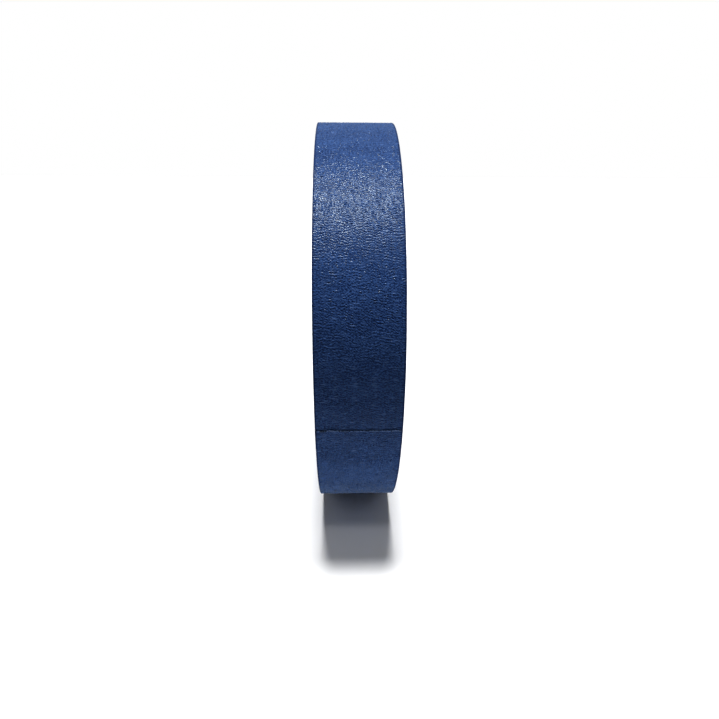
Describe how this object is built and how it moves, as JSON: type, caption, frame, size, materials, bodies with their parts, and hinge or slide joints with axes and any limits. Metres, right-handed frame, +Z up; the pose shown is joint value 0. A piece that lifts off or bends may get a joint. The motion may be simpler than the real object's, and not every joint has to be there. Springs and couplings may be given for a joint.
{
  "type": "masking tape roll",
  "caption": "Roll of creped paper masking tape wound on a paperboard core with a through bore; the cut free end of the outer turn peels back from the roll.",
  "frame": {"origin": "middle of the flat under the roll's rim, where it stands, straight below the axis", "axes": "+Z up, X along the roll's axis, the front with the free end towards -Y"},
  "size_m": [0.024, 0.1289, 0.1289],
  "materials": {
    "crepe_tape": "matte",
    "chipboard": "matte",
    "liner_paper": "matte"
  },
  "bodies": {
    "roll": {"core_liner": "liner_paper", "core_ply_1": "chipboard", "core_ply_2": "chipboard", "core_ply_3": "chipboard", "core_ply_4": "chipboard", "core_outer_ply": "chipboard", "tape_windings": "crepe_tape", "outer_turn": "crepe_tape"},
    "tape_end_1": {"tape_end_1": "crepe_tape"},
    "tape_end_2": {"tape_end_2": "crepe_tape"},
    "tape_end_3": {"tape_end_3": "crepe_tape"},
    "tape_end_4": {"tape_end_4": "crepe_tape"},
    "tape_end_5": {"tape_end_5": "crepe_tape"},
    "tape_end_6": {"tape_end_6": "crepe_tape"},
    "tape_end_7": {"tape_end_7": "crepe_tape"},
    "tape_end_8": {"tape_end_8": "crepe_tape"}
  },
  "joints": [
    {"name": "tape_peel", "type": "hinge", "parent": "roll", "child": "tape_end_1", "pos_m": [0, -0.04318, 0.01652], "axis": [1, 0, 0], "range_deg": [0, 16]},
    {"name": "tape_peel_2", "type": "hinge", "parent": "tape_end_1", "child": "tape_end_2", "pos_m": [0, -0.04643, 0.01965], "axis": [1, 0, 0], "range_deg": [0, 14]},
    {"name": "tape_peel_3", "type": "hinge", "parent": "tape_end_2", "child": "tape_end_3", "pos_m": [0, -0.04944, 0.023], "axis": [1, 0, 0], "range_deg": [0, 12]},
    {"name": "tape_peel_4", "type": "hinge", "parent": "tape_end_3", "child": "tape_end_4", "pos_m": [0, -0.05222, 0.02654], "axis": [1, 0, 0], "range_deg": [0, 10]},
    {"name": "tape_peel_5", "type": "hinge", "parent": "tape_end_4", "child": "tape_end_5", "pos_m": [0, -0.05474, 0.03028], "axis": [1, 0, 0], "range_deg": [0, 8]},
    {"name": "tape_peel_6", "type": "hinge", "parent": "tape_end_5", "child": "tape_end_6", "pos_m": [0, -0.05699, 0.03418], "axis": [1, 0, 0], "range_deg": [0, 6]},
    {"name": "tape_peel_7", "type": "hinge", "parent": "tape_end_6", "child": "tape_end_7", "pos_m": [0, -0.05897, 0.03823], "axis": [1, 0, 0], "range_deg": [0, 5]},
    {"name": "tape_peel_8", "type": "hinge", "parent": "tape_end_7", "child": "tape_end_8", "pos_m": [0, -0.06066, 0.0424], "axis": [1, 0, 0], "range_deg": [0, 5]}
  ],
  "couplings": [
    {"joint": "tape_peel_2", "follows": "tape_peel", "ratio": 0.875},
    {"joint": "tape_peel_3", "follows": "tape_peel", "ratio": 0.75},
    {"joint": "tape_peel_4", "follows": "tape_peel", "ratio": 0.625},
    {"joint": "tape_peel_5", "follows": "tape_peel", "ratio": 0.5},
    {"joint": "tape_peel_6", "follows": "tape_peel", "ratio": 0.375},
    {"joint": "tape_peel_7", "follows": "tape_peel", "ratio": 0.3125},
    {"joint": "tape_peel_8", "follows": "tape_peel", "ratio": 0.3125}
  ]
}
